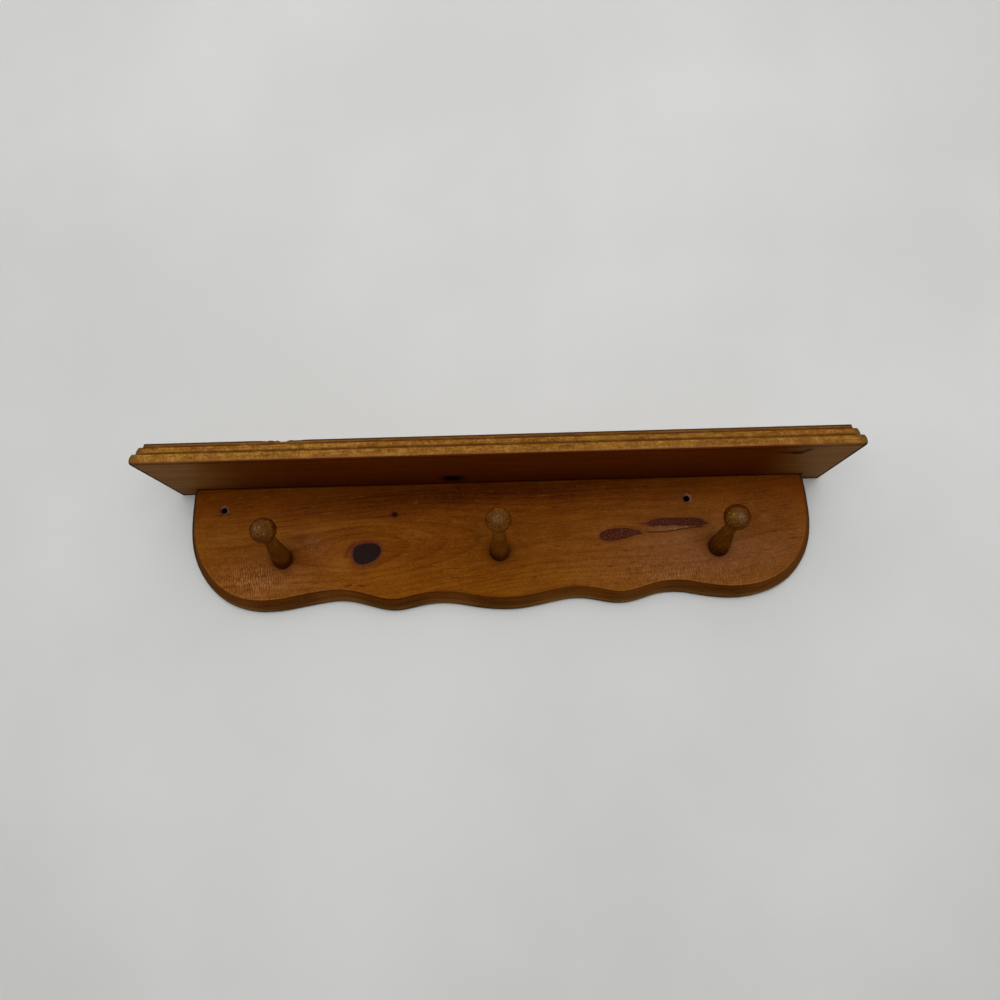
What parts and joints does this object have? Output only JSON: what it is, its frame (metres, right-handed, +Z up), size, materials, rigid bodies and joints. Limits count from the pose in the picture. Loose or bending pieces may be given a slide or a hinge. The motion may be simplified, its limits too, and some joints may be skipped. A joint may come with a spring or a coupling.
{
  "type": "peg rail with shelf",
  "caption": "Wall-hung pine rail with a scalloped round-cornered back board, a moulded-edge shelf on top, and turned mushroom-head pegs that lean upward.",
  "frame": {"origin": "on the wall plane, at the middle of the shelf's length and the height of the two wall-screw holes", "axes": "+X to the right seen from the front, along the shelf; +Y into the wall, so the front faces -Y; +Z up"},
  "size_m": [0.5716, 0.1016, 0.1286],
  "materials": {
    "pine_back_board": "satin amber varnish over knotty pine, grain along the length",
    "pine_shelf": "satin amber varnish over pine, grain along the length",
    "peg_hardwood": "satin dark varnish over turned hardwood",
    "screw_steel": "zinc plated",
    "plug_pine": "satin amber varnish over face-grain plugs"
  },
  "bodies": {
    "root": {"back_board": "pine_back_board", "shelf_board": "pine_shelf", "peg_left": "peg_hardwood", "peg_center": "peg_hardwood", "peg_right": "peg_hardwood", "shelf_screws": "screw_steel", "screw_plugs": "plug_pine"}
  },
  "joints": []
}
